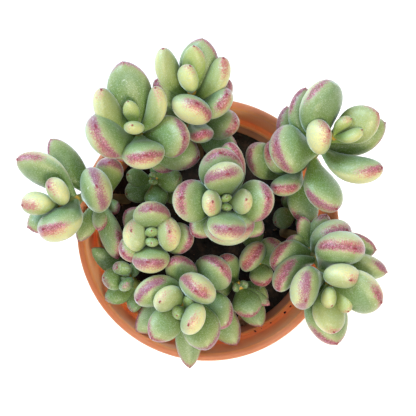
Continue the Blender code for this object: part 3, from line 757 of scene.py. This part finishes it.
red = mix(tree, fade(tree, mottle, .44, .72), CRIMSON, ROSE)
red = mix(tree, fade(tree, power, .7, .25, 0, .7), red, ROSE)
red = mix(tree, calc(tree, "MULTIPLY", fade(tree, depth, -.6, -2.4), .3), red, CORAL)
red = mix(tree, fade(tree, chance, .35, 1.0, 0, .6), red, PLUM)
red = mix(tree, calc(tree, "MULTIPLY", young, .5), red, CORAL)
shade = mix(tree, band, shade, red)
shade = mix(tree, fade(tree, dusty, .56, .75, 0, .55), shade, WAX)
shade = mix(tree, fade(tree, marks, .64, .72, 0, .4), shade, WAX)
margin = calc(tree, "ABSOLUTE", depth)
point = calc(tree, "MULTIPLY", fade(tree, along, .99, .998), fade(tree, margin, .7, .3))
shade = mix(tree, calc(tree, "MULTIPLY", point, .9), shade, MAROON)
tree.links.new(shade, shader.inputs["Base Color"])
tree.links.new(fade(tree, mottle, .2, .8, .28, .46), shader.inputs["Roughness"])
shader.inputs["IOR"].default_value = 1.5
shader.inputs["Subsurface Weight"].default_value = .18
shader.inputs["Subsurface Radius"].default_value = (.8, .9, .35)
shader.inputs["Subsurface Scale"].default_value = .003
shader.inputs["Sheen Weight"].default_value = .8
shader.inputs["Sheen Roughness"].default_value = .27
shader.inputs["Sheen Tint"].default_value = (.74, .90, 1, 1)
bump(tree, shader, calc(tree, "ADD", stipple, calc(tree, "MULTIPLY", mottle, 1.5)), .00008)

draw = random.Random(11)
for name, (points, pairs) in STEMS.items():
    route = smooth_route(points)
    clump = []
    for order, (below, *pair) in enumerate(pairs):
        base, direction = point_below_tip(route, below)
        for leaf in pair:
            places, depths, rims = shape_leaf(base, direction, leaf)
            piece = bpy.data.objects.new("leaf", blank.data.copy())
            bpy.context.collection.objects.link(piece)
            piece.data.vertices.foreach_set("co", (places * MM).ravel())
            add_values(piece.data, "leaf_along", ALONG)
            age = min(1, order / 4 + OLDER.get(name, 0))
            shift = BAND_SHIFT_MM.get((name, below, leaf[0]), draw.uniform(-.7, .9) * age)
            add_values(piece.data, "leaf_depth", depths + shift)
            add_values(piece.data, "leaf_rim", rims)
            add_values(piece.data, "leaf_age", np.full(len(ALONG), age))
            add_values(piece.data, "leaf_chance", np.full(len(ALONG), draw.random()))
            green = max(GREENER.get(name, 0), .9 if leaf[2] < BUD_LENGTH_MM else 0)
            add_values(piece.data, "leaf_green", np.full(len(ALONG), green))
            add_values(piece.data, "leaf_lean", AROUND[:, 0] * draw.uniform(-1, 1))
            clump.append(piece)
    bpy.ops.object.select_all(action="DESELECT")
    for piece in clump:
        piece.select_set(True)
    bpy.context.view_layer.objects.active = clump[0]
    bpy.ops.object.join()
    leaves = bpy.context.object
    leaves.name = f"leaves_{name}"
    bpy.ops.object.mode_set(mode="EDIT")
    bpy.ops.mesh.select_all(action="SELECT")
    bpy.ops.mesh.normals_make_consistent(inside=False)
    bpy.ops.object.mode_set(mode="OBJECT")
    leaves.data.materials.append(skin)
    smooth(leaves, 180)
    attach(leaves, "root")
    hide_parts(f"stem_{name}")
bpy.data.objects.remove(blank, do_unlink=True)

# Floor and light. The pot stands on a plain white floor, in warm light from the near side and
# cool light from the far side.
FLOOR_WIDE = 4
bpy.ops.object.select_all(action="DESELECT")
bpy.ops.mesh.primitive_plane_add(size=FLOOR_WIDE, location=(0, 0, -.0002))
floor = bpy.context.object
floor.name = "white_floor"
paper, tree, shader = new_material("white floor")
shader.inputs["Base Color"].default_value = (.92, .92, .92, 1)
shader.inputs["Roughness"].default_value = .9
shader.inputs["Emission Color"].default_value = (1, 1, 1, 1)
shader.inputs["Emission Strength"].default_value = .35
floor.data.materials.append(paper)
floor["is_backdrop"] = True


def soft_light(name, place, size, watts, colour, target=(0, 0, .12)):
    lamp = bpy.data.lights.new(name, "AREA")
    lamp.shape = "DISK"
    lamp.size = size
    lamp.energy = watts
    lamp.color = colour
    holder = bpy.data.objects.new(name, lamp)
    holder.location = place
    holder.rotation_euler = (Vector(target) - Vector(place)).to_track_quat("-Z", "Y").to_euler()
    bpy.context.scene.collection.objects.link(holder)


soft_light("warm near light", (.28, -.62, 1.2), .4, 11, (1, .86, .58))
soft_light("cool far light", (-.75, .75, .8), .7, 15, (.58, .81, 1))
soft_light("overhead light", (0, 0, 1.3), 1.6, 5, (1, .97, .92))
world = bpy.data.worlds.new("pale room")
world.use_nodes = True
world.node_tree.nodes["Background"].inputs["Color"].default_value = (.95, .97, 1, 1)
world.node_tree.nodes["Background"].inputs["Strength"].default_value = .44
bpy.context.scene.world = world
bpy.context.scene.view_settings.view_transform = "Standard"

# Camera. It looks straight down from above the pot, turned a degree so that the plant, which
# leans towards the far side, stands in the middle of the picture.
CAMERA_HEIGHT = .66
AIM = (0, .0114, .110)
LENS_MM = 89.5
camera = bpy.data.objects.new("overhead camera", bpy.data.cameras.new("overhead camera"))
camera.data.lens = LENS_MM
camera.data.sensor_width = 36
camera.location = (0, 0, CAMERA_HEIGHT)
camera.rotation_euler = (Vector(AIM) - camera.location).to_track_quat("-Z", "Y").to_euler()
bpy.context.scene.collection.objects.link(camera)
bpy.context.scene.camera = camera

low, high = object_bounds()
